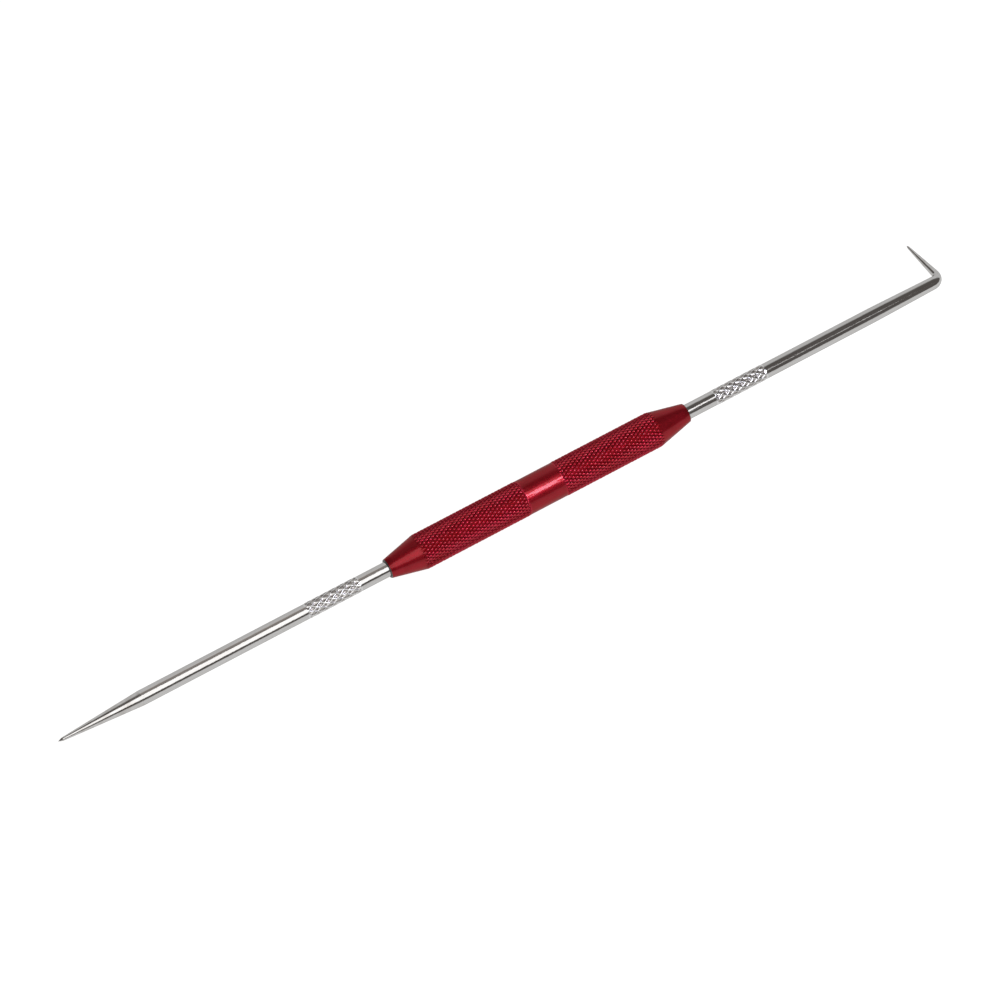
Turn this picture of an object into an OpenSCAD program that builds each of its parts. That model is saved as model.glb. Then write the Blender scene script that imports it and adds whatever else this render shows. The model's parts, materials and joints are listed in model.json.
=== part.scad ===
// Double-ended scriber. A turned and knurled aluminium handle carries a straight steel
// point at one end and a bent one at the other. Each point screws into a tapped hole in
// the handle, and has a knurled finger band for turning it.
//
// Millimetres, +Z up. +X runs along the handle toward the bent point. The tool lies on
// the plane z = 0, on the knurl of its handle and on the tip of its hook, which points
// to +Y. The origin is on that plane, straight below the middle of the handle.

/* [Handle] */
// Length of the handle, end face to end face
handle_length = 75; // [71:0.5:85]
// Diameter of the bar, left plain in the band between the two grips
bar_d = 8; // [7:0.1:9]
// Height that knurling raises the grips above the bar
knurl_rise = 0.075; // [0.05:0.005:0.15]
// Length of the cone at the straight point's end
straight_cone = 8.25; // [6:0.25:10]
// Length of the grip next to it
straight_grip = 25.5; // [20:0.5:28]
// Width of the plain band
band_width = 8.75; // [4:0.25:12]
// Length of the grip at the bent point's end; the rest of the handle is its other cone
bent_grip = 24; // [18:0.5:26]
// Diameter of the flat end faces
end_face_d = 4.4; // [4.2:0.1:5]

/* [Screwed joints] */
// Outside diameter of the threaded studs
thread_d = 3; // [2.6:0.1:3]
// Length of each stud
stud_length = 10.5; // [8:0.5:14]
// Depth of the plain socket at the mouth of each tapped hole
socket_depth = 3; // [2:0.5:5]
// Radial gap between a stud and its tapped hole
thread_gap = 0.03; // [0.01:0.01:0.1]
// Radial gap between a shank and its socket
socket_gap = 0.05; // [0.01:0.01:0.1]
// Diameter of the drill run before tapping
tap_drill_d = 2.5; // [2:0.1:2.6]

/* [Both points] */
// Diameter of the shanks
shank_d = 3.4; // [3.2:0.1:3.6]
// Plain neck between the handle and the finger band
neck_length = 7; // [4:0.5:10]
// Length of the finger band
finger_band_length = 13; // [8:1:16]
// Height that knurling raises the finger band above the shank
finger_band_rise = 0.06; // [0.03:0.01:0.2]
// Diameter of the small flat left on a sharpened tip
tip_d = 0.1; // [0.06:0.02:0.2]

/* [Straight point] */
// Length of the plain shank
straight_shank = 40; // [30:0.5:60]
// Length of the ground taper, tip bevel included
straight_taper = 19.75; // [12:0.25:25]
// Length of the steeper bevel at the tip
straight_bevel = 1; // [0.5:0.1:2]
// Diameter where the bevel starts
straight_bevel_d = 0.8; // [0.4:0.05:1]

/* [Bent point] */
// Handle end face to the centre line of the hook
bent_reach = 66; // [50:0.5:80]
// Length over which the shank slims down before the bend
slim_length = 15.5; // [8:0.5:20]
// Radius of the bend, at its centre line
bend_radius = 2.2; // [1.8:0.1:4]
// Diameter where the bend starts
bend_entry_d = 2.84; // [2.4:0.02:3]
// Diameter where the bend ends
bend_exit_d = 1.74; // [1.2:0.02:2.2]
// Handle axis to the tip of the hook
hook_length = 13.8; // [8:0.2:20]
// Length of the steeper bevel at the tip
hook_bevel = 0.8; // [0.4:0.1:2]
// Diameter where the bevel starts
hook_bevel_d = 0.58; // [0.3:0.02:0.8]

/* [Hidden] */

$fn = 96;

grip_d = bar_d + 2 * knurl_rise;
axis_z = grip_d / 2;
handle_end = handle_length / 2;
end_chamfer = 0.15;

// Tapped holes: the thread runs this far past the stud, then the tap drill a little more,
// to the cone its point leaves.
thread_spare = 1;
drill_spare = 1.5;
drill_half_angle = 59;
drill_cone = tap_drill_d / 2 / tan(drill_half_angle);

// Stud: chamfered at its end, undercut next to the shoulder. The shoulder stops a hair
// short of the floor of its socket.
stud_chamfer = 0.3;
undercut_d = 2.4;
undercut_width = 0.8;
seat_gap = 0.02;
pilot_depth = socket_depth - seat_gap;

// Rings with this spacing, proud of the shank and sunk in it by the same height, stand in
// for the crossed grooves of a rolled finger band.
ring_pitch = 1;

// The tip of the hook comes down onto the plane that the handle lies on.
hook_drop = asin((axis_z - tip_d / 2) / hook_length);

// The bent end is swept from rings. Its first ring stands a little inside the shank.
ring_sides = 32;
bend_steps = 12;
ring_overlap = 1;
ring_inset = 0.02;

// Sets a shape turned about Z onto the handle's axis, +Z toward the bent point.
module toward_bent_end() {
    translate([0, 0, axis_z]) rotate([0, 90, 0]) children();
}

// Sets a shape turned about Z onto the handle's axis, +Z toward the straight point.
module toward_straight_end() {
    translate([0, 0, axis_z]) rotate([0, -90, 0]) children();
}

// A solid of revolution through points [diameter, station].
module turned(profile) {
    rotate_extrude() polygon([for (p = profile) [p[0] / 2, p[1]]]);
}

// The turned bar, from the straight point's end: a cone, a grip, the plain band, a grip
// and a cone.
module handle_bar() {
    first_grip = straight_cone - handle_end;
    band = first_grip + straight_grip;
    second_grip = band + band_width;
    second_cone = second_grip + bent_grip;
    turned([
        [0, -handle_end],
        [end_face_d - 2 * end_chamfer, -handle_end],
        [end_face_d, end_chamfer - handle_end],
        [grip_d, first_grip],
        [grip_d, band],
        [bar_d, band],
        [bar_d, second_grip],
        [grip_d, second_grip],
        [grip_d, second_cone],
        [end_face_d, handle_end - end_chamfer],
        [end_face_d - 2 * end_chamfer, handle_end],
        [0, handle_end]
    ]);
}

// One tapped hole with its socket, cut down from the +Z end face.
module tapped_hole() {
    thread_end = handle_end - socket_depth - stud_length - thread_spare;
    drill_end = thread_end - drill_spare;
    translate([0, 0, handle_end - socket_depth])
        cylinder(h = socket_depth + 1, d = shank_d + 2 * socket_gap);
    translate([0, 0, thread_end])
        cylinder(h = handle_end - thread_end, d = thread_d + 2 * thread_gap);
    translate([0, 0, drill_end])
        cylinder(h = handle_end - drill_end, d = tap_drill_d);
    translate([0, 0, drill_end - drill_cone])
        cylinder(h = drill_cone, d1 = 0, d2 = tap_drill_d);
}

// The rings of a finger band, with their valleys first.
function finger_band_profile(start) = [
    for (i = [0 : round(finger_band_length / ring_pitch) - 1])
        each [
            [shank_d - 2 * finger_band_rise, start + i * ring_pitch],
            [shank_d + 2 * finger_band_rise, start + (i + 0.5) * ring_pitch]
        ]
];

// What both points share: stud, undercut, pilot, neck and finger band. Station 0 is at
// the handle's end face.
function root_profile() = concat(
    [
        [0, -pilot_depth - stud_length],
        [thread_d - 2 * stud_chamfer, -pilot_depth - stud_length],
        [thread_d, -pilot_depth - stud_length + stud_chamfer],
        [thread_d, -pilot_depth - undercut_width],
        [undercut_d, -pilot_depth - undercut_width],
        [undercut_d, -pilot_depth],
        [shank_d, -pilot_depth],
        [shank_d, neck_length]
    ],
    finger_band_profile(neck_length),
    [[shank_d, neck_length + finger_band_length]]
);

function straight_profile() =
    let (shank_end = neck_length + finger_band_length + straight_shank)
    concat(root_profile(), [
        [shank_d, shank_end],
        [straight_bevel_d, shank_end + straight_taper - straight_bevel],
        [tip_d, shank_end + straight_taper],
        [0, shank_end + straight_taper]
    ]);

function bent_profile() =
    let (bend_start = bent_reach - bend_radius)
    concat(root_profile(), [
        [shank_d, bend_start - slim_length],
        [bend_entry_d, bend_start],
        [0, bend_start]
    ]);

// Rings of the bent end, each [along, aside, turn, diameter], measured from the place
// where the bend starts. The path turns from "along" to "aside".
function bend_ring(i) =
    let (turn = 90 * i / bend_steps)
    [
        bend_radius * sin(turn),
        bend_radius * (1 - cos(turn)),
        turn,
        bend_entry_d + (bend_exit_d - bend_entry_d) * i / bend_steps
    ];

function hook_rings() = concat(
    [[-ring_overlap, 0, 0, bend_entry_d - 2 * ring_inset]],
    [[0, 0, 0, bend_entry_d - 2 * ring_inset]],
    [for (i = [1:bend_steps]) bend_ring(i)],
    [[bend_radius, hook_length - hook_bevel, 90, hook_bevel_d]],
    [[bend_radius, hook_length, 90, tip_d]]
);

// The points round one ring, in the plane square to the path there.
function ring_points(ring) =
    let (along = ring[0], aside = ring[1], turn = ring[2], r = ring[3] / 2)
    [for (k = [0:ring_sides - 1])
        let (a = 360 * k / ring_sides)
        [along - r * cos(a) * sin(turn), aside + r * cos(a) * cos(turn), r * sin(a)]
    ];

// The closed skin over a list of rings.
module swept(rings) {
    last = (len(rings) - 1) * ring_sides;
    polyhedron(
        points = [for (ring = rings) each ring_points(ring)],
        faces = concat(
            [[for (k = [0:ring_sides - 1]) k]],
            [[for (k = [0:ring_sides - 1]) last + ring_sides - 1 - k]],
            [for (i = [0:len(rings) - 2], k = [0:ring_sides - 1])
                let (base = i * ring_sides, next = (k + 1) % ring_sides)
                [base + k, base + ring_sides + k, base + ring_sides + next, base + next]
            ]
        )
    );
}

module handle() {
    color("firebrick")
        toward_bent_end()
            difference() {
                handle_bar();
                tapped_hole();
                mirror([0, 0, 1]) tapped_hole();
            }
}

module straight_point() {
    color("silver")
        toward_straight_end()
            translate([0, 0, handle_end])
                turned(straight_profile());
}

module bent_point() {
    color("lightsteelblue") {
        toward_bent_end()
            translate([0, 0, handle_end])
                turned(bent_profile());
        translate([handle_end + bent_reach - bend_radius, 0, axis_z])
            rotate([-hook_drop, 0, 0])
                swept(hook_rings());
    }
}

handle();
straight_point();
bent_point();
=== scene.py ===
import json
import math

import bmesh
import bpy
from mathutils import Matrix, Quaternion, Vector


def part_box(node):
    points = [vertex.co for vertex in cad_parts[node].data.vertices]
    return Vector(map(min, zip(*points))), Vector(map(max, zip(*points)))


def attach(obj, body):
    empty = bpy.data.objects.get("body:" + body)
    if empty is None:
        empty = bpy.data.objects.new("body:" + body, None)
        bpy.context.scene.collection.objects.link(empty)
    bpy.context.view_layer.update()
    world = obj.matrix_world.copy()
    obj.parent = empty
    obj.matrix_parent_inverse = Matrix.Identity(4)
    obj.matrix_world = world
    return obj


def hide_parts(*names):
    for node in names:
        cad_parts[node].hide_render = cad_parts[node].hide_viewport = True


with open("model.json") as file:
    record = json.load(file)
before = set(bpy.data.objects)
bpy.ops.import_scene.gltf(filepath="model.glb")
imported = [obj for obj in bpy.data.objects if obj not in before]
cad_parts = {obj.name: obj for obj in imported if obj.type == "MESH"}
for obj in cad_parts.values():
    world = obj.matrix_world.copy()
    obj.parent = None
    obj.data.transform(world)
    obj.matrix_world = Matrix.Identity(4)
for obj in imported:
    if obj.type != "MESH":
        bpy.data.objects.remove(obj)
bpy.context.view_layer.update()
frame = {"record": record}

# Double-ended scriber. Three pieces stand for the three CAD nodes: a knurled and anodised
# handle and two steel points, each with its thread, finger band and ground end. The tool
# lies along X, so every surface here is a skin round the handle's axis, or round the line
# that the hook bends along.
#
# Sizes are in millimetres; metre() turns them into the frame's metres. A station is a place
# along X. Outward is the way along X, -1 or 1, that leads off the handle at one end of it,
# and inward is the way back.

MM = 0.001


def metre(*values):
    return tuple(v * MM for v in values)


# ---------------------------------------------------------------- where the CAD says things are
def box_mm(node):
    low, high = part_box(node)
    return low / MM, high / MM


def mount(name):
    """The stations where a mount along X begins and ends, its radius and its axis's height."""
    row = next(m for m in frame["record"]["mounts"] if m["name"] == name)
    x, _, z = (v / MM for v in row["pos_m"])
    half = row["dims"]["length_mm"] / 2
    return x - half, x + half, row["dims"]["r_mm"], z


LEFT_FACE, RIGHT_FACE = (corner.x for corner in box_mm("handle"))
STRAIGHT_TIP = box_mm("straight_point")[0].x
LEFT_CORNER, RIGHT_CORNER, CREST_R, AXIS_Z = mount("grip")
PLAIN_LEFT, PLAIN_RIGHT, PLAIN_R, _ = mount("clip_band")
_, _, SHANK_R, _ = mount("straight_shank")

# Handle's ends
FACE_R = 2.2
FACE_CHAMFER = 0.15
CHAMFER_MIDDLE = 0.35  # share of the chamfer at the ring that rounds it
CONE_STEPS = 5
PLAIN_INSET = 2.5  # from the plain band's edges to the two rings that carry it
HANDLE_SHARP_ANGLE = 28

# Diamond knurl of the grips
KNURL_PERIOD = 1.6
KNURL_TEETH = 30
KNURL_STEPS = 8  # rows in a period, and columns in a tooth
KNURL_DEPTH = 0.22
KNURL_FADE = 0.6
KNURL_SPARE = 0.02  # how far the cone falls below the grooves before the rows stop
WALL_POWER = 2.2
HANDLE_SIDES = KNURL_TEETH * KNURL_STEPS

# Tapped holes
SOCKET_R = 1.75
SOCKET_DEPTH = 3.0
SOCKET_CHAMFER = 0.08
SOCKET_RIM = 0.14  # width of the turned ring round the socket's mouth
BORE_GAP = 0.03
BORE_LEAD = 0.05  # from the thread's full radius out to where its lead-in starts
BORE_SIDES = 48
TAP_DRILL_R = 1.25
TAP_DRILL_HALF_ANGLE = 59
THREAD_SPARE = 1.0
DRILL_SPARE = 1.5
DRILL_CONE = TAP_DRILL_R / math.tan(math.radians(TAP_DRILL_HALF_ANGLE))

# Studs
THREAD_PITCH = 0.5
STUD_R = 1.5
STUD_ROOT_R = 1.2
ROOT_ROUNDING = 0.015
STUD_LENGTH = 10.5
STUD_CHAMFER = 0.3
STUD_END_EDGE = 0.02  # from the chamfer in to the rim of the end face
UNDERCUT_R = 1.2
UNDERCUT_WIDTH = 0.8
UNDERCUT_CHAMFER = 0.1
PILOT_CHAMFER = 0.06
SEAT_GAP = 0.02

# Finger bands
NECK = 7.0
FINGER_LENGTH = 13.0
FINGER_PERIOD = 2.0
FINGER_TEETH = 9
FINGER_STEPS = 16
FINGER_CREST = 0.06
FINGER_ROOT = 0.12
FINGER_FADE = 0.5
RIDGE_WIDTH = 0.205  # share of a tooth
LEFT_CROSSING = 0.83  # from the band's start to where two ridges first cross on its +Y side
RIGHT_CROSSING = 1.6
POINT_SIDES = FINGER_TEETH * FINGER_STEPS
SHANK_LEAD = 0.2  # from the last row of a band to the first plain ring

# Ground ends
POINT_SHARP_ANGLE = 32
CORNER_STEPS = 4
TIP_R = 0.02
TIP_LENGTH = 0.02
STRAIGHT_TAPER = 19.75
TAPER_START = (0.35, 0.0), (0.0, 0.006), (-0.3, 0.03)  # (distance before it, drop in radius)
STRAIGHT_BEVEL = 1.0
STRAIGHT_BEVEL_R = 0.4
STRAIGHT_ROUNDING = 0.25
SLIM_LENGTH = 15.5
SLIM_ROUNDING = 2.5
BENT_REACH = 66.0
BEND_RADIUS = 2.2
BEND_STEPS = 28
BEND_ENTRY_R = 1.42
BEND_EXIT_R = 0.87
BEND_ARC = BEND_RADIUS * math.pi / 2
HOOK_LENGTH = 13.8
HOOK_BEVEL = 0.8
HOOK_BEVEL_R = 0.29
HOOK_ROUNDING = 0.2
CAD_TIP_R = 0.05

# Mesh building
MERGE_DISTANCE = 2e-7  # metres
SHORTEST_EDGE = 1e-7  # metres
ROW_SLACK = 1e-6  # share of a row
ON_CONE = 1e-7  # millimetres over a cone that still count as on it
THREAD_OVERRUN = 2  # turns past each end, drawn in to the end station

# Material slots of the handle, then of the points
KNURLED, TURNED, CUT = range(3)
DRAWN, ROLLED, GROUND, THREADED = range(4)


# ---------------------------------------------------------------- skins
def smooth(t):
    t = min(max(t, 0.0), 1.0)
    return t * t * (3 - 2 * t)


def piecewise(table, at):
    """Linear interpolation through (position, value) pairs."""
    if at <= table[0][0]:
        return table[0][1]
    for (a, u), (b, v) in zip(table, table[1:]):
        if at <= b:
            return u + (v - u) * (at - a) / (b - a)
    return table[-1][1]


class Skin:
    """The mesh of one piece as it grows. Each vertex has its place, its place on the tool
    straightened out, for the grain of its material, and its height in a knurl, 0 to 1."""

    def __init__(self):
        self.places, self.grain, self.height = [], [], []
        self.faces, self.zones = [], []

    def vertex(self, place, grain, height=1.0):
        self.places.append(metre(*place))
        self.grain.append(grain)
        self.height.append(height)
        return len(self.places) - 1

    def round_x(self, x, r, angle, height=1.0):
        """A vertex at radius r round the handle's axis."""
        y, z = r * math.cos(angle), r * math.sin(angle)
        return self.vertex((x, y, AXIS_Z + z), (x, y, z), height)

    def ring(self, x, r, sides):
        return [self.round_x(x, r, math.tau * k / sides) for k in range(sides)]

    def station(self, ring):
        return self.places[ring[0]][0] / MM

    def face(self, corners, zone):
        """A face in that material slot, or none where its corners fall together."""
        kept = []
        for c in corners:
            if c not in kept:
                kept.append(c)
        if len(kept) > 2:
            self.faces.append(kept)
            self.zones.append(zone)

    def bridge(self, a, b, zone):
        """Quads from ring a to ring b, or n-gons where one has a multiple of the other's sides."""
        if len(a) < len(b):
            a, b = b, a
        n, m = len(a), len(b)
        share = n // m
        for k in range(m):
            arc = [a[(k * share + i) % n] for i in range(share + 1)]
            self.face(arc + [b[(k + 1) % m], b[k]], zone)

    def lathe(self, ring, profile, sides, zone):
        """Turns a profile of (x, r) round the axis, on from a ring. Returns its last ring."""
        for x, r in profile:
            new = self.ring(x, r, sides)
            self.bridge(ring, new, zone)
            ring = new
        return ring

    def cap(self, ring, centre, zone):
        for k, a in enumerate(ring):
            self.face([a, ring[(k + 1) % len(ring)], centre], zone)

    def build(self, name, materials, sharp_angle):
        mesh = bpy.data.meshes.new(name)
        mesh.from_pydata(self.places, [], self.faces)
        for m in materials:
            mesh.materials.append(m)
        mesh.polygons.foreach_set("material_index", self.zones)
        mesh.attributes.new("grain", "FLOAT_VECTOR", "POINT").data.foreach_set(
            "vector", [c for g in self.grain for c in g]
        )
        mesh.attributes.new("height", "FLOAT", "POINT").data.foreach_set("value", self.height)
        bm = bmesh.new()
        bm.from_mesh(mesh)
        bmesh.ops.remove_doubles(bm, verts=bm.verts, dist=MERGE_DISTANCE)
        bmesh.ops.dissolve_degenerate(bm, edges=bm.edges, dist=SHORTEST_EDGE)
        bmesh.ops.recalc_face_normals(bm, faces=bm.faces)
        for f in bm.faces:
            f.smooth = True
        bm.to_mesh(mesh)
        bm.free()
        mesh.set_sharp_from_angle(angle=math.radians(sharp_angle))
        piece = bpy.data.objects.new(name, mesh)
        bpy.context.scene.collection.objects.link(piece)
        return piece


# ---------------------------------------------------------------- knurls
def line_distance(a, b):
    """How far off the nearer line of a crossed knurl is, 0 to 0.5, where a and b count the
    lines of each hand: the grooves of a grip, or the ridges of a finger band."""
    return min(abs(a - round(a)), abs(b - round(b)))


def knurl(skin, first, last, origin, pattern, surface, zone, cone=None, cone_zone=None):
    """Rows of a crossed knurl from station first to last, on a grid through origin. Returns
    its rings nearest -X and nearest +X.

    pattern is its period along X, its teeth round the tool, and its steps in each of them.
    surface(a, b, x) gives the radius and height where a and b count the lines of the two
    hands. Row spacing and column spacing are the same share of a tooth, so that grooves and
    ridges run along edges. Where there is a cone(x), the knurl is turned down to that
    radius, and triangles that cross it are cut exactly."""
    period, teeth, steps = pattern
    sides = teeth * steps
    pitch = period / steps
    low = math.floor((min(first, last) - origin) / pitch + ROW_SLACK)
    high = math.ceil((max(first, last) - origin) / pitch - ROW_SLACK)
    stations = [origin + j * pitch for j in range(low, high + 1)]
    grid = []
    for j, x in enumerate(stations, low):
        limit = cone(x) if cone else math.inf
        row = []
        for i in range(sides):
            r, height = surface((i + j) / steps, (i - j) / steps, x)
            vertex = skin.round_x(x, min(r, limit), math.tau * i / sides, height)
            row.append((vertex, r - limit, height))
        grid.append(row)
    crossings = {}

    def crossing(p, q):
        """The vertex where the edge from p to q, each (row, column), meets the cone."""
        key = (min(p, q), max(p, q))
        if key not in crossings:
            (ja, ia), (jb, ib) = key
            _, over_a, height_a = grid[ja][ia % sides]
            _, over_b, height_b = grid[jb][ib % sides]
            t = over_a / (over_a - over_b)
            x = stations[ja] + (stations[jb] - stations[ja]) * t
            angle = math.tau * (ia + (ib - ia) * t) / sides
            height = height_a + (height_b - height_a) * t
            crossings[key] = skin.round_x(x, cone(x), angle, height)
        return crossings[key]

    def triangle(loop):
        """One triangle of the grid, in two faces where the cone crosses it."""
        at, excess, _ = zip(*(grid[j][i % sides] for j, i in loop))
        over = [e > ON_CONE for e in excess]
        on_knurl, on_cone = [], []
        for n in range(3):
            following = (n + 1) % 3
            (on_cone if over[n] else on_knurl).append(at[n])
            if over[n] != over[following]:
                shared = crossing(loop[n], loop[following])
                on_knurl.append(shared)
                on_cone.append(shared)
        skin.face(on_knurl, zone)
        skin.face(on_cone, cone_zone)

    for j in range(len(stations) - 1):
        for i in range(sides):
            # the line nearer to this square sets which diagonal it is split along
            a, b = (i + j + low + 1) / steps, (i - j - low) / steps
            corners = (j, i), (j, i + 1), (j + 1, i + 1), (j + 1, i)
            if abs(a - round(a)) <= abs(b - round(b)):
                halves = (0, 1, 3), (1, 2, 3)
            else:
                halves = (0, 1, 2), (0, 2, 3)
            for half in halves:
                triangle([corners[c] for c in half])
    return [[vertex for vertex, _, _ in row] for row in (grid[0], grid[-1])]


# ---------------------------------------------------------------- threads
def thread(skin, start, first, last, sides, shape, trim, zone):
    """A right-hand screw thread from station first to last, on from the ring start. shape is
    one pitch of (share of the pitch, radius); trim(x, r) gives the radius after chamfers
    and run-outs. Its rows follow the helix, and stop at the end stations. Returns the ring
    at station last."""
    low, high = min(first, last), max(first, last)
    closed = shape + [(1 + shape[0][0], shape[0][1])]
    turns = range(
        math.floor(low / THREAD_PITCH) - THREAD_OVERRUN,
        math.ceil(high / THREAD_PITCH) + THREAD_OVERRUN,
    )
    columns = []
    for k in range(sides):
        turn = k / sides
        column = []
        for m in turns:
            for s, r in shape:
                x = THREAD_PITCH * (turn + m + s)
                held = min(max(x, low), high)
                if held != x:
                    r = piecewise(closed, (held / THREAD_PITCH - turn) % 1.0)
                column.append(skin.round_x(held, trim(held, r), math.tau * turn))
        columns.append(column)
    rows = len(columns[0])
    for k in range(sides):
        here, there = columns[k], columns[(k + 1) % sides]
        # the last column joins the first one pitch further on
        shift = len(shape) if k == sides - 1 else 0
        for j in range(rows - 1 - shift):
            skin.face([here[j], here[j + 1], there[j + 1 + shift], there[j + shift]], zone)
    near, far = [c[0] for c in columns], [c[-1] for c in columns]
    if first > last:
        near, far = far, near
    skin.bridge(start, near, zone)
    return far


STUD_THREAD = [
    (0.0, STUD_R),
    (0.125, STUD_R),
    (0.4375, STUD_ROOT_R),
    (0.5625, STUD_ROOT_R - ROOT_ROUNDING),
    (0.6875, STUD_ROOT_R),
]
BORE_THREAD = [(s, max(r + BORE_GAP, TAP_DRILL_R)) for s, r in STUD_THREAD]


# ---------------------------------------------------------------- handle
def grip_surface(band_edge, outward):
    """The grips' diamond knurl: sharp grooves, with walls that round over to low crests. It
    rises out of the plain band at the band's edge."""

    def surface(a, b, x):
        height = 1 - (1 - 2 * line_distance(a, b)) ** WALL_POWER
        r = CREST_R - KNURL_DEPTH * (1 - height)
        formed = smooth((x - band_edge) * outward / KNURL_FADE)
        return PLAIN_R + (r - PLAIN_R) * formed, height * formed + 1 - formed

    return surface


def cone_slope(corner, face):
    """How much a cone's radius falls in a millimetre, from the grip's corner to the face."""
    return (CREST_R - FACE_R) / (abs(face - corner) - FACE_CHAMFER)


def cone_from(corner, face):
    """Radius along a cone from the grip's corner to the end face."""
    slope = cone_slope(corner, face)
    return lambda x: CREST_R - slope * (x - corner) * (1 if face > corner else -1)


def tapped_hole(skin, start, face, inward):
    """The bore of one end: socket, thread, drilled end and drill cone."""
    seat = face + inward * SOCKET_DEPTH
    thread_end = seat + inward * (STUD_LENGTH + THREAD_SPARE)
    lead = STUD_R + BORE_GAP + BORE_LEAD
    ring = skin.lathe(
        start,
        [
            (face, SOCKET_R + SOCKET_CHAMFER),
            (face + inward * SOCKET_CHAMFER, SOCKET_R),
            (seat, SOCKET_R),
            (seat, lead),
        ],
        BORE_SIDES,
        CUT,
    )

    def trim(x, r):
        left = abs(thread_end - x)
        cut = TAP_DRILL_R + (r - TAP_DRILL_R) * smooth(left / THREAD_PITCH)
        return max(cut, lead - abs(x - seat))

    ring = thread(skin, ring, seat, thread_end, BORE_SIDES, BORE_THREAD, trim, CUT)
    drilled = thread_end + inward * DRILL_SPARE
    ring = skin.lathe(ring, [(thread_end, TAP_DRILL_R), (drilled, TAP_DRILL_R)], BORE_SIDES, CUT)
    skin.cap(ring, skin.round_x(drilled + inward * DRILL_CONE, 0, 0), CUT)


def handle_end(skin, ring, corner, face, inward):
    """Cone, chamfer, end face and bore, on from the ring where the knurl has run out."""
    cone = cone_from(corner, face)
    start, edge = skin.station(ring), face + inward * FACE_CHAMFER
    stations = [start + (edge - start) * i / CONE_STEPS for i in range(1, CONE_STEPS + 1)]
    ring = skin.lathe(ring, [(x, cone(x)) for x in stations], HANDLE_SIDES, TURNED)
    middle = FACE_CHAMFER * CHAMFER_MIDDLE
    chamfer = [(face + inward * middle, FACE_R - middle), (face, FACE_R - FACE_CHAMFER)]
    ring = skin.lathe(ring, chamfer, HANDLE_SIDES, CUT)
    rim = skin.ring(face, SOCKET_R + SOCKET_RIM, BORE_SIDES)
    skin.bridge(ring, rim, CUT)
    tapped_hole(skin, rim, face, inward)


def half_handle(skin, band_edge, corner, face, outward):
    """A grip and its end of the handle. Returns the ring at the edge of the plain band."""
    run_out = (KNURL_DEPTH + KNURL_SPARE) / cone_slope(corner, face)
    rings = knurl(
        skin, band_edge, corner + outward * run_out, band_edge,
        (KNURL_PERIOD, KNURL_TEETH, KNURL_STEPS),
        grip_surface(band_edge, outward), KNURLED, cone_from(corner, face), TURNED,
    )
    inner, outer = rings if outward > 0 else rings[::-1]
    handle_end(skin, outer, corner, face, -outward)
    return inner


def make_handle(materials):
    skin = Skin()
    left = half_handle(skin, PLAIN_LEFT, LEFT_CORNER, LEFT_FACE, -1)
    right = half_handle(skin, PLAIN_RIGHT, RIGHT_CORNER, RIGHT_FACE, 1)
    plain = [(PLAIN_LEFT + PLAIN_INSET, PLAIN_R), (PLAIN_RIGHT - PLAIN_INSET, PLAIN_R)]
    middle = skin.lathe(left, plain, HANDLE_SIDES, TURNED)
    skin.bridge(middle, right, TURNED)
    return skin.build("handle_body", materials, HANDLE_SHARP_ANGLE)


# ---------------------------------------------------------------- points
def finger_surface(first, last):
    """The finger bands' coarse knurl: rounded ridges of both hands round sunk diamonds. It
    fades out at stations first and last."""

    def surface(a, b, x):
        height = math.exp(-((line_distance(a, b) / RIDGE_WIDTH) ** 2))
        r = SHANK_R - FINGER_ROOT + (FINGER_ROOT + FINGER_CREST) * height
        formed = smooth(min(x - first, last - x) / FINGER_FADE)
        return SHANK_R + (r - SHANK_R) * formed, height * formed + 1 - formed

    return surface


def stud(skin, pilot_end, outward):
    """The threaded stud and its undercut, up to the pilot. Returns the undercut's last ring."""
    end = pilot_end - outward * STUD_LENGTH
    thread_end = pilot_end - outward * UNDERCUT_WIDTH
    ring = skin.ring(end, STUD_R - STUD_CHAMFER - STUD_END_EDGE, POINT_SIDES)
    skin.cap(ring, skin.round_x(end, 0, 0), THREADED)

    def trim(x, r):
        lead = STUD_R - STUD_CHAMFER + abs(x - end)
        neck = UNDERCUT_R + abs(x - thread_end)
        return min(r, lead, max(neck, STUD_ROOT_R - ROOT_ROUNDING))

    ring = thread(skin, ring, end, thread_end, POINT_SIDES, STUD_THREAD, trim, THREADED)
    undercut = [(thread_end, UNDERCUT_R), (pilot_end - outward * UNDERCUT_CHAMFER, UNDERCUT_R)]
    return skin.lathe(ring, undercut, POINT_SIDES, DRAWN)


def root(skin, face, outward, first_crossing):
    """Stud, pilot, neck and finger band. Returns the ring where the band ends."""
    pilot_end = face - outward * (SOCKET_DEPTH - SEAT_GAP)
    ring = skin.lathe(
        stud(skin, pilot_end, outward),
        [
            (pilot_end, UNDERCUT_R + UNDERCUT_CHAMFER),
            (pilot_end, SHANK_R - PILOT_CHAMFER),
            (pilot_end + outward * PILOT_CHAMFER, SHANK_R),
            (face, SHANK_R),
        ],
        POINT_SIDES,
        DRAWN,
    )
    first = face + outward * NECK
    last = first + outward * FINGER_LENGTH
    rings = knurl(
        skin, first, last, first + outward * first_crossing,
        (FINGER_PERIOD, FINGER_TEETH, FINGER_STEPS),
        finger_surface(min(first, last), max(first, last)), ROLLED,
    )
    inner, outer = rings if outward > 0 else rings[::-1]
    skin.bridge(ring, inner, DRAWN)
    return outer


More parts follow.
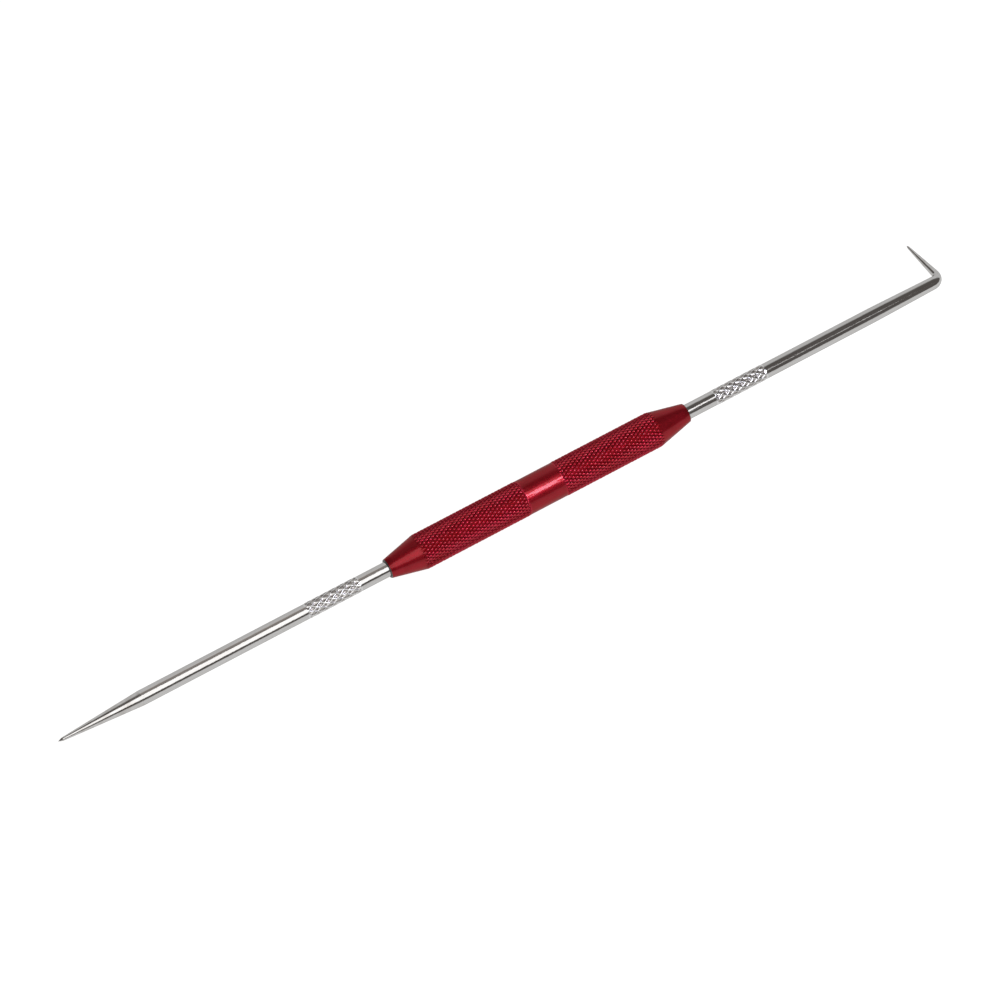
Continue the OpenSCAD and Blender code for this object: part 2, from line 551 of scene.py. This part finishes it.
def rounded(profile, width):
    """A profile of (x, r) with its inner corners rounded over the given width."""
    out = [profile[0]]
    for (xa, ra), (xb, rb), (xc, rc) in zip(profile, profile[1:], profile[2:]):
        before, after = abs(xb - xa), abs(xc - xb)
        reach = min(width, before / 2, after / 2)
        enter = (xb + (xa - xb) * reach / before, rb + (ra - rb) * reach / before)
        leave = (xb + (xc - xb) * reach / after, rb + (rc - rb) * reach / after)
        for i in range(CORNER_STEPS + 1):
            t = i / CORNER_STEPS
            out.append(tuple(
                (1 - t) ** 2 * u + 2 * t * (1 - t) * v + t * t * w
                for u, v, w in zip(enter, (xb, rb), leave)
            ))
    out.append(profile[-1])
    return out


def make_straight_point(materials):
    skin = Skin()
    ring = root(skin, LEFT_FACE, -1, LEFT_CROSSING)
    taper = STRAIGHT_TIP + STRAIGHT_TAPER
    start = [(taper + before, SHANK_R - drop) for before, drop in TAPER_START]
    shank = [(skin.station(ring) - SHANK_LEAD, SHANK_R), *start[:-1]]
    ring = skin.lathe(ring, shank, POINT_SIDES, DRAWN)
    bevel = (STRAIGHT_TIP + STRAIGHT_BEVEL, STRAIGHT_BEVEL_R)
    ground = [start[-1], bevel, (STRAIGHT_TIP + TIP_LENGTH, TIP_R)]
    ring = skin.lathe(ring, rounded(ground, STRAIGHT_ROUNDING), POINT_SIDES, GROUND)
    skin.cap(ring, skin.round_x(STRAIGHT_TIP, 0, 0), GROUND)
    return skin.build("straight_scribing_point", materials, POINT_SHARP_ANGLE)


def hook_line():
    """The bent point's line from the start of the bend, as (place, turn, length along, r,
    material), the place of its tip, and the axis that it bends about. Its plane slopes down
    so that the tip touches what the tool lies on."""
    drop = math.asin((AXIS_Z - CAD_TIP_R) / HOOK_LENGTH)
    aside = Vector((0, math.cos(drop), -math.sin(drop)))
    along = Vector((1, 0, 0))
    centre = Vector((RIGHT_FACE + BENT_REACH - BEND_RADIUS, 0, AXIS_Z)) + aside * BEND_RADIUS
    line = []
    for i in range(1, BEND_STEPS + 1):
        turn = math.pi / 2 * i / BEND_STEPS
        line.append((
            centre + (along * math.sin(turn) - aside * math.cos(turn)) * BEND_RADIUS,
            turn,
            BEND_RADIUS * turn,
            BEND_ENTRY_R + (BEND_EXIT_R - BEND_ENTRY_R) * smooth(i / BEND_STEPS),
            DRAWN,
        ))
    foot = centre + along * BEND_RADIUS - aside * BEND_RADIUS
    hook = [
        (BEND_RADIUS, BEND_EXIT_R),
        (HOOK_LENGTH - HOOK_BEVEL, HOOK_BEVEL_R),
        (HOOK_LENGTH - TIP_LENGTH, TIP_R),
    ]
    for d, r in rounded(hook, HOOK_ROUNDING)[1:]:
        line.append((foot + aside * d, math.pi / 2, BEND_ARC + d - BEND_RADIUS, r, GROUND))
    return line, foot + aside * HOOK_LENGTH, along.cross(aside)


def make_bent_point(materials):
    skin = Skin()
    ring = root(skin, RIGHT_FACE, 1, RIGHT_CROSSING)
    bend = RIGHT_FACE + BENT_REACH - BEND_RADIUS
    start = (skin.station(ring) + SHANK_LEAD, SHANK_R)
    shank = [start, (bend - SLIM_LENGTH, SHANK_R), (bend, BEND_ENTRY_R)]
    ring = skin.lathe(ring, rounded(shank, SLIM_ROUNDING), POINT_SIDES, DRAWN)
    line, tip, pivot = hook_line()
    for place, turn, length, r, zone in line:
        turned = Quaternion(pivot, turn)
        new = []
        for k in range(POINT_SIDES):
            angle = math.tau * k / POINT_SIDES
            out = Vector((0, r * math.cos(angle), r * math.sin(angle)))
            new.append(skin.vertex(place + turned @ out, (bend + length, out.y, out.z)))
        skin.bridge(ring, new, zone)
        ring = new
    tip_length = BEND_ARC + HOOK_LENGTH - BEND_RADIUS
    skin.cap(ring, skin.vertex(tip, (bend + tip_length, 0, 0)), GROUND)
    return skin.build("bent_scribing_point", materials, POINT_SHARP_ANGLE)


# ---------------------------------------------------------------- materials
# The sockets of a Mix node that blends colours
MIX_FACTOR, MIX_A, MIX_B = 0, 6, 7
MIX_RESULT = 2


def socket_name(key):
    """The shader socket that a keyword stands for: coat_ior is Coat IOR."""
    return key.replace("_", " ").title().replace("Ior", "IOR")


class Finish:
    """A procedural metal. Its textures read the grain attribute, which is in millimetres on
    the tool straightened out, with X along it."""

    def __init__(self, name, metallic=1.0, specular_tint=(1, 1, 1), **sockets):
        self.material = bpy.data.materials.new(name)
        self.material.use_nodes = True
        self.tree = self.material.node_tree
        self.shader = self.tree.nodes["Principled BSDF"]
        self.shader.inputs["Metallic"].default_value = metallic
        self.shader.inputs["Specular Tint"].default_value = (*specular_tint, 1)
        for key, value in sockets.items():
            self.shader.inputs[socket_name(key)].default_value = value
        self.grain = self.node("ShaderNodeAttribute", attribute_name="grain").outputs["Vector"]
        self.height = self.node("ShaderNodeAttribute", attribute_name="height").outputs["Fac"]

    def node(self, kind, **settings):
        made = self.tree.nodes.new(kind)
        for key, value in settings.items():
            setattr(made, key, value)
        return made

    def noise(self, along, across, detail=2.0, roughness=0.5, seed=0.0):
        """Noise with so many waves per millimetre along the tool and across it. The seed
        moves it to a place of its own."""
        shift = self.node("ShaderNodeMapping")
        shift.inputs["Scale"].default_value = (along, across, across)
        shift.inputs["Location"].default_value = (seed, seed * 1.7, seed * 2.3)
        self.tree.links.new(self.grain, shift.inputs["Vector"])
        made = self.node("ShaderNodeTexNoise")
        made.inputs["Scale"].default_value = 1.0
        made.inputs["Detail"].default_value = detail
        made.inputs["Roughness"].default_value = roughness
        self.tree.links.new(shift.outputs["Vector"], made.inputs["Vector"])
        return made.outputs["Fac"]

    def scaled(self, value, low, high, to_low, to_high):
        """A value spread from one range to another, and held to the second one's ends."""
        made = self.node("ShaderNodeMapRange", clamp=True)
        ends = {"From Min": low, "From Max": high, "To Min": to_low, "To Max": to_high}
        for key, end in ends.items():
            made.inputs[key].default_value = end
        self.tree.links.new(value, made.inputs["Value"])
        return made.outputs["Result"]

    def blend(self, factor, a, b):
        """From a at factor 0 to b at factor 1, each a plain colour or another node's output."""
        made = self.node("ShaderNodeMix", data_type="RGBA", clamp_factor=True)
        self.tree.links.new(factor, made.inputs[MIX_FACTOR])
        for socket, colour in ((made.inputs[MIX_A], a), (made.inputs[MIX_B], b)):
            if isinstance(colour, tuple):
                socket.default_value = (*colour, 1)
            else:
                self.tree.links.new(colour, socket)
        return made.outputs[MIX_RESULT]

    def combined(self, a, b, operation):
        made = self.node("ShaderNodeMath", operation=operation)
        self.tree.links.new(a, made.inputs[0])
        self.tree.links.new(b, made.inputs[1])
        return made.outputs[0]

    def bump(self, value, depth_mm, under=None):
        """The normal bumped by a value, on top of another bumped normal if there is one."""
        made = self.node("ShaderNodeBump")
        made.inputs["Strength"].default_value = 1.0
        made.inputs["Distance"].default_value = depth_mm * MM
        self.tree.links.new(value, made.inputs["Height"])
        if under:
            self.tree.links.new(under, made.inputs["Normal"])
        return made.outputs["Normal"]

    def finished(self, **links):
        for key, value in links.items():
            self.tree.links.new(value, self.shader.inputs[socket_name(key)])
        return self.material


def anodised(name, deep, bright, roughness, knurled):
    """Red anodised aluminium, turned, with a clear sealed film over the dye; knurl grooves get
    painted shade.
    """
    made = Finish(
        name, metallic=0.85, specular_tint=(0.45, 0.16, 0.18),
        coat_weight=0.36, coat_roughness=0.10, coat_ior=1.5,
    )
    cloud = made.noise(0.35, 0.5, detail=3, seed=3.1)
    colour = made.blend(made.scaled(cloud, 0.35, 0.65, 0, 1), deep, bright)
    lines = made.noise(9.0, 0.06, detail=4, roughness=0.7, seed=1.3)
    grit = made.noise(14, 14, detail=2, seed=5.7)
    if knurled:
        # painted shade: toward the groove bottoms the knurl's red darkens to three quarters of its
        # deep tone
        groove_shade_colour = tuple(c * 0.75 for c in deep)
        colour = made.blend(made.scaled(made.height, 0, 0.7, 0, 1), groove_shade_colour, colour)
        normal = made.bump(grit, 0.004)
    else:
        normal = made.bump(lines, 0.001, made.bump(grit, 0.0004))
    wear = made.combined(lines, grit, "MULTIPLY")
    rough = made.scaled(wear, 0.12, 0.4, roughness - 0.04, roughness + 0.05)
    return made.finished(base_color=colour, roughness=rough, normal=normal)


def shaded_cut_aluminium():
    """The faced ends and tapped holes, cut after anodising, coloured dark grey as painted shade,
    far darker than bare aluminium.
    """
    made = Finish("cut_aluminium_painted_shade")
    lines = made.noise(0.5, 7.0, detail=3, seed=2.2)
    shade = made.scaled(lines, 0.3, 0.7, 0, 1)
    return made.finished(
        # painted shade: the cut faces and bores get a near-black grey in place of aluminium's
        # bright colour
        base_color=made.blend(shade, (0.10, 0.09, 0.085), (0.16, 0.15, 0.145)),
        roughness=made.scaled(lines, 0.3, 0.7, 0.32, 0.48),
        normal=made.bump(lines, 0.004),
    )


def drawn_steel():
    """Bright drawn rod, polished, with fine lines along it and a few small marks."""
    made = Finish("drawn_steel", specular_tint=(0.74, 0.73, 0.72))
    streaks = made.noise(0.10, 5.0, detail=4, roughness=0.65, seed=4.4)
    marks = made.noise(0.9, 3.0, detail=3, roughness=0.6, seed=7.9)
    streaked = made.scaled(streaks, 0.35, 0.65, 0, 1)
    marked = made.scaled(marks, 0.62, 0.74, 0, 0.4)
    tint = made.blend(streaked, (0.58, 0.565, 0.55), (0.66, 0.655, 0.65))
    wear = made.combined(streaks, marks, "MULTIPLY")
    return made.finished(
        base_color=made.blend(marked, tint, (0.42, 0.39, 0.37)),
        roughness=made.scaled(wear, 0.12, 0.42, 0.07, 0.17),
        normal=made.bump(streaks, 0.003, made.bump(marks, 0.010)),
    )


def knurled_steel():
    """The finger bands: bright on the ridges; rougher where they are sunk, and darker and browner
    there as painted shade.
    """
    made = Finish("knurled_steel", specular_tint=(0.78, 0.76, 0.75))
    grit = made.noise(7, 7, detail=3, seed=9.4)
    sunk = made.scaled(made.height, 0.1, 0.8, 1, 0)
    grit_rough = made.scaled(grit, 0.3, 0.7, 0.15, 0.26)
    sunk_rough = made.scaled(sunk, 0, 1, 0, 0.16)
    return made.finished(
        # painted shade: the sunk diamonds blend from bright steel down to a dark brownish grey
        base_color=made.blend(sunk, (0.77, 0.765, 0.76), (0.42, 0.39, 0.37)),
        roughness=made.combined(grit_rough, sunk_rough, "ADD"),
        normal=made.bump(grit, 0.006),
    )


def ground_steel():
    """The sharpened ends: grinding marks round the taper."""
    made = Finish("ground_steel", specular_tint=(0.78, 0.77, 0.76))
    rings = made.noise(3.0, 0.25, detail=4, roughness=0.6, seed=6.1)
    burn = made.noise(0.6, 0.6, detail=2, seed=8.8)
    burnt = made.scaled(burn, 0.35, 0.7, 0, 1)
    return made.finished(
        base_color=made.blend(burnt, (0.66, 0.65, 0.64), (0.52, 0.50, 0.48)),
        roughness=made.scaled(rings, 0.3, 0.7, 0.10, 0.20),
        normal=made.bump(rings, 0.003),
    )


def threaded_steel():
    """The studs: cut thread, a little dark with oil."""
    made = Finish("threaded_steel")
    lines = made.noise(2.0, 8.0, detail=3, seed=1.9)
    shade = made.scaled(lines, 0.3, 0.7, 0, 1)
    return made.finished(
        base_color=made.blend(shade, (0.36, 0.345, 0.33), (0.50, 0.49, 0.48)),
        roughness=made.scaled(lines, 0.3, 0.7, 0.22, 0.36),
        normal=made.bump(lines, 0.004),
    )


# in the order of the slots KNURLED, TURNED and CUT
HANDLE_MATERIALS = [
    anodised("anodised_knurl", (0.36, 0.007, 0.018), (0.45, 0.012, 0.038), 0.31, True),
    anodised("anodised_turned", (0.30, 0.006, 0.012), (0.35, 0.008, 0.018), 0.40, False),
    shaded_cut_aluminium(),
]
# in the order of the slots DRAWN, ROLLED, GROUND and THREADED
POINT_MATERIALS = [drawn_steel(), knurled_steel(), ground_steel(), threaded_steel()]

# ---------------------------------------------------------------- pieces
handle = make_handle(HANDLE_MATERIALS)
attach(handle, "handle")
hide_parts("handle")

straight = make_straight_point(POINT_MATERIALS)
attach(straight, "straight_point")
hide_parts("straight_point")

bent = make_bent_point(POINT_MATERIALS)
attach(bent, "bent_point")
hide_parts("bent_point")


# ---------------------------------------------------------------- floor, light and camera
FLOOR_HALF = 3.0  # metres
FLOOR_GREY = 0.30
FLOOR_GLOW = 0.93


def make_floor():
    """A plain white sheet that glows a little, as a lit studio table does."""
    corners = [(-1, -1), (1, -1), (1, 1), (-1, 1)]
    mesh = bpy.data.meshes.new("floor")
    mesh.from_pydata([(FLOOR_HALF * x, FLOOR_HALF * y, 0) for x, y in corners], [], [(0, 1, 2, 3)])
    floor = bpy.data.objects.new("floor", mesh)
    bpy.context.scene.collection.objects.link(floor)
    paper = bpy.data.materials.new("white_paper")
    paper.use_nodes = True
    shader = paper.node_tree.nodes["Principled BSDF"]
    shader.inputs["Base Color"].default_value = (FLOOR_GREY, FLOOR_GREY, FLOOR_GREY, 1)
    shader.inputs["Roughness"].default_value = 1.0
    shader.inputs["Specular IOR Level"].default_value = 0.0
    shader.inputs["Emission Color"].default_value = (1, 1, 1, 1)
    shader.inputs["Emission Strength"].default_value = FLOOR_GLOW
    mesh.materials.append(paper)
    floor.visible_glossy = False


# Brightness of the studio's walls, and how they follow one another in degrees round the X
# axis, from 0 at +Y to 90 at +Z
DIM, SWEEP, PAPER = (0.122, 0.112, 0.105), (0.70, 0.70, 0.70), (0.82, 0.82, 0.82)
BLACK, WHITE = (0, 0, 0), (1, 1, 1)
ROOM = (-60, PAPER), (-20, SWEEP), (38, SWEEP), (58, DIM), (166, DIM), (172, PAPER)
DOORWAY = (-60, PAPER), (-35, SWEEP), (-12, SWEEP), (2, DIM), (166, DIM), (172, PAPER)
# How far the doorway is open, along the X of a direction
OPENING = (-0.72, BLACK), (-0.60, WHITE), (-0.12, WHITE), (-0.03, BLACK)


def make_world():
    """The studio round the tool: a pale sweep below and behind, and a dim, warm room above.
    On the side toward -X there is a doorway, where the dim room reaches lower behind."""
    world = bpy.data.worlds.new("studio")
    world.use_nodes = True
    bpy.context.scene.world = world
    tree = world.node_tree

    def share(value, low, high):
        """Where a value lies between low and high, 0 to 1."""
        made = tree.nodes.new("ShaderNodeMapRange")
        made.inputs["From Min"].default_value = low
        made.inputs["From Max"].default_value = high
        tree.links.new(value, made.inputs["Value"])
        return made.outputs["Result"]

    def ramp(position, low, high, stops):
        """The colour at a position, 0 to 1, of a ramp from low to high. Its stops are pairs
        of (place, colour), with places on the scale of low and high."""
        made = tree.nodes.new("ShaderNodeValToRGB")
        tree.links.new(position, made.inputs["Fac"])
        elements = made.color_ramp.elements
        elements.remove(elements[-1])
        elements[0].position = 0
        elements[0].color = (*stops[0][1], 1)
        for place, colour in stops:
            elements.new((place - low) / (high - low)).color = (*colour, 1)
        return made.outputs["Color"]

    where = tree.nodes.new("ShaderNodeTexCoord")
    split = tree.nodes.new("ShaderNodeSeparateXYZ")
    angle = tree.nodes.new("ShaderNodeMath")
    angle.operation = "ARCTAN2"
    light = tree.nodes.new("ShaderNodeMix")
    light.data_type = "RGBA"
    tree.links.new(where.outputs["Generated"], split.inputs["Vector"])
    tree.links.new(split.outputs["Z"], angle.inputs[0])
    tree.links.new(split.outputs["Y"], angle.inputs[1])
    around = share(angle.outputs[0], -math.pi, math.pi)
    side = share(split.outputs["X"], -1, 1)
    tree.links.new(ramp(side, -1, 1, OPENING), light.inputs[MIX_FACTOR])
    tree.links.new(ramp(around, -180, 180, ROOM), light.inputs[MIX_A])
    tree.links.new(ramp(around, -180, 180, DOORWAY), light.inputs[MIX_B])
    tree.links.new(light.outputs[MIX_RESULT], tree.nodes["Background"].inputs["Color"])


def make_lamp(name, x, angle, reach, along, across, radiance, shape="RECTANGLE", colour=(1, 1, 1)):
    """An area light that faces the handle's axis from the given angle round it, in degrees
    from +Y up. Sizes are in millimetres. It shows in reflections but not to the camera."""
    data = bpy.data.lights.new(name, "AREA")
    data.shape = shape
    data.size, data.size_y = along * MM, across * MM
    area = data.size * data.size_y * (math.pi / 4 if shape == "ELLIPSE" else 1)
    data.energy = radiance * area * math.pi
    data.color = colour
    lamp = bpy.data.objects.new(name, data)
    bpy.context.scene.collection.objects.link(lamp)
    out = Vector((0, math.cos(math.radians(angle)), math.sin(math.radians(angle))))
    side = Vector((1, 0, 0))
    facing = Matrix((side, out.cross(side), out)).transposed().to_4x4()
    at = Vector(metre(x, 0, AXIS_Z)) + out * reach * MM
    lamp.matrix_world = Matrix.Translation(at) @ facing
    lamp.visible_camera = False


# Camera, in degrees and metres, with its sensor and lens in millimetres
AZIMUTH, ELEVATION = -31.06, 60.32
DISTANCE = 1.122
AIM = (0, 0, 0.004)
AIM_LEFT, AIM_DOWN = 0.00813, 0.00207  # from there to the middle of the view
SENSOR_WIDTH, FOCAL_LENGTH = 36, 188.2
CLIP_START, CLIP_END = 0.01, 20


def make_camera():
    azimuth, elevation = math.radians(AZIMUTH), math.radians(ELEVATION)
    back = Vector((
        math.sin(azimuth) * math.cos(elevation),
        -math.cos(azimuth) * math.cos(elevation),
        math.sin(elevation),
    ))
    right = Vector((math.cos(azimuth), math.sin(azimuth), 0))
    up = back.cross(right)
    data = bpy.data.cameras.new("camera")
    data.sensor_width = SENSOR_WIDTH
    data.lens = FOCAL_LENGTH
    data.clip_start, data.clip_end = CLIP_START, CLIP_END
    camera = bpy.data.objects.new("camera", data)
    bpy.context.scene.collection.objects.link(camera)
    target = Vector(AIM) - AIM_LEFT * right - AIM_DOWN * up
    turned = Matrix((right, up, back)).transposed().to_4x4()
    camera.matrix_world = Matrix.Translation(target + back * DISTANCE) @ turned
    bpy.context.scene.camera = camera


make_floor()
make_world()
make_lamp("softbox", x=-35, angle=114, reach=230, along=310, across=222, radiance=1.5,
          shape="ELLIPSE")
make_lamp("softbox_core", x=62, angle=119, reach=230, along=36, across=84, radiance=14.0,
          colour=(0.95, 0.97, 1.18))
make_lamp("fill", x=-10, angle=62, reach=260, along=130, across=210, radiance=0.2,
          colour=(1.0, 0.90, 0.85))
make_lamp("softbox_edge", x=147, angle=117.5, reach=230, along=66, across=20, radiance=0.75)
make_camera()
bpy.context.scene.view_settings.view_transform = "Standard"
bpy.context.scene.view_settings.look = "None"
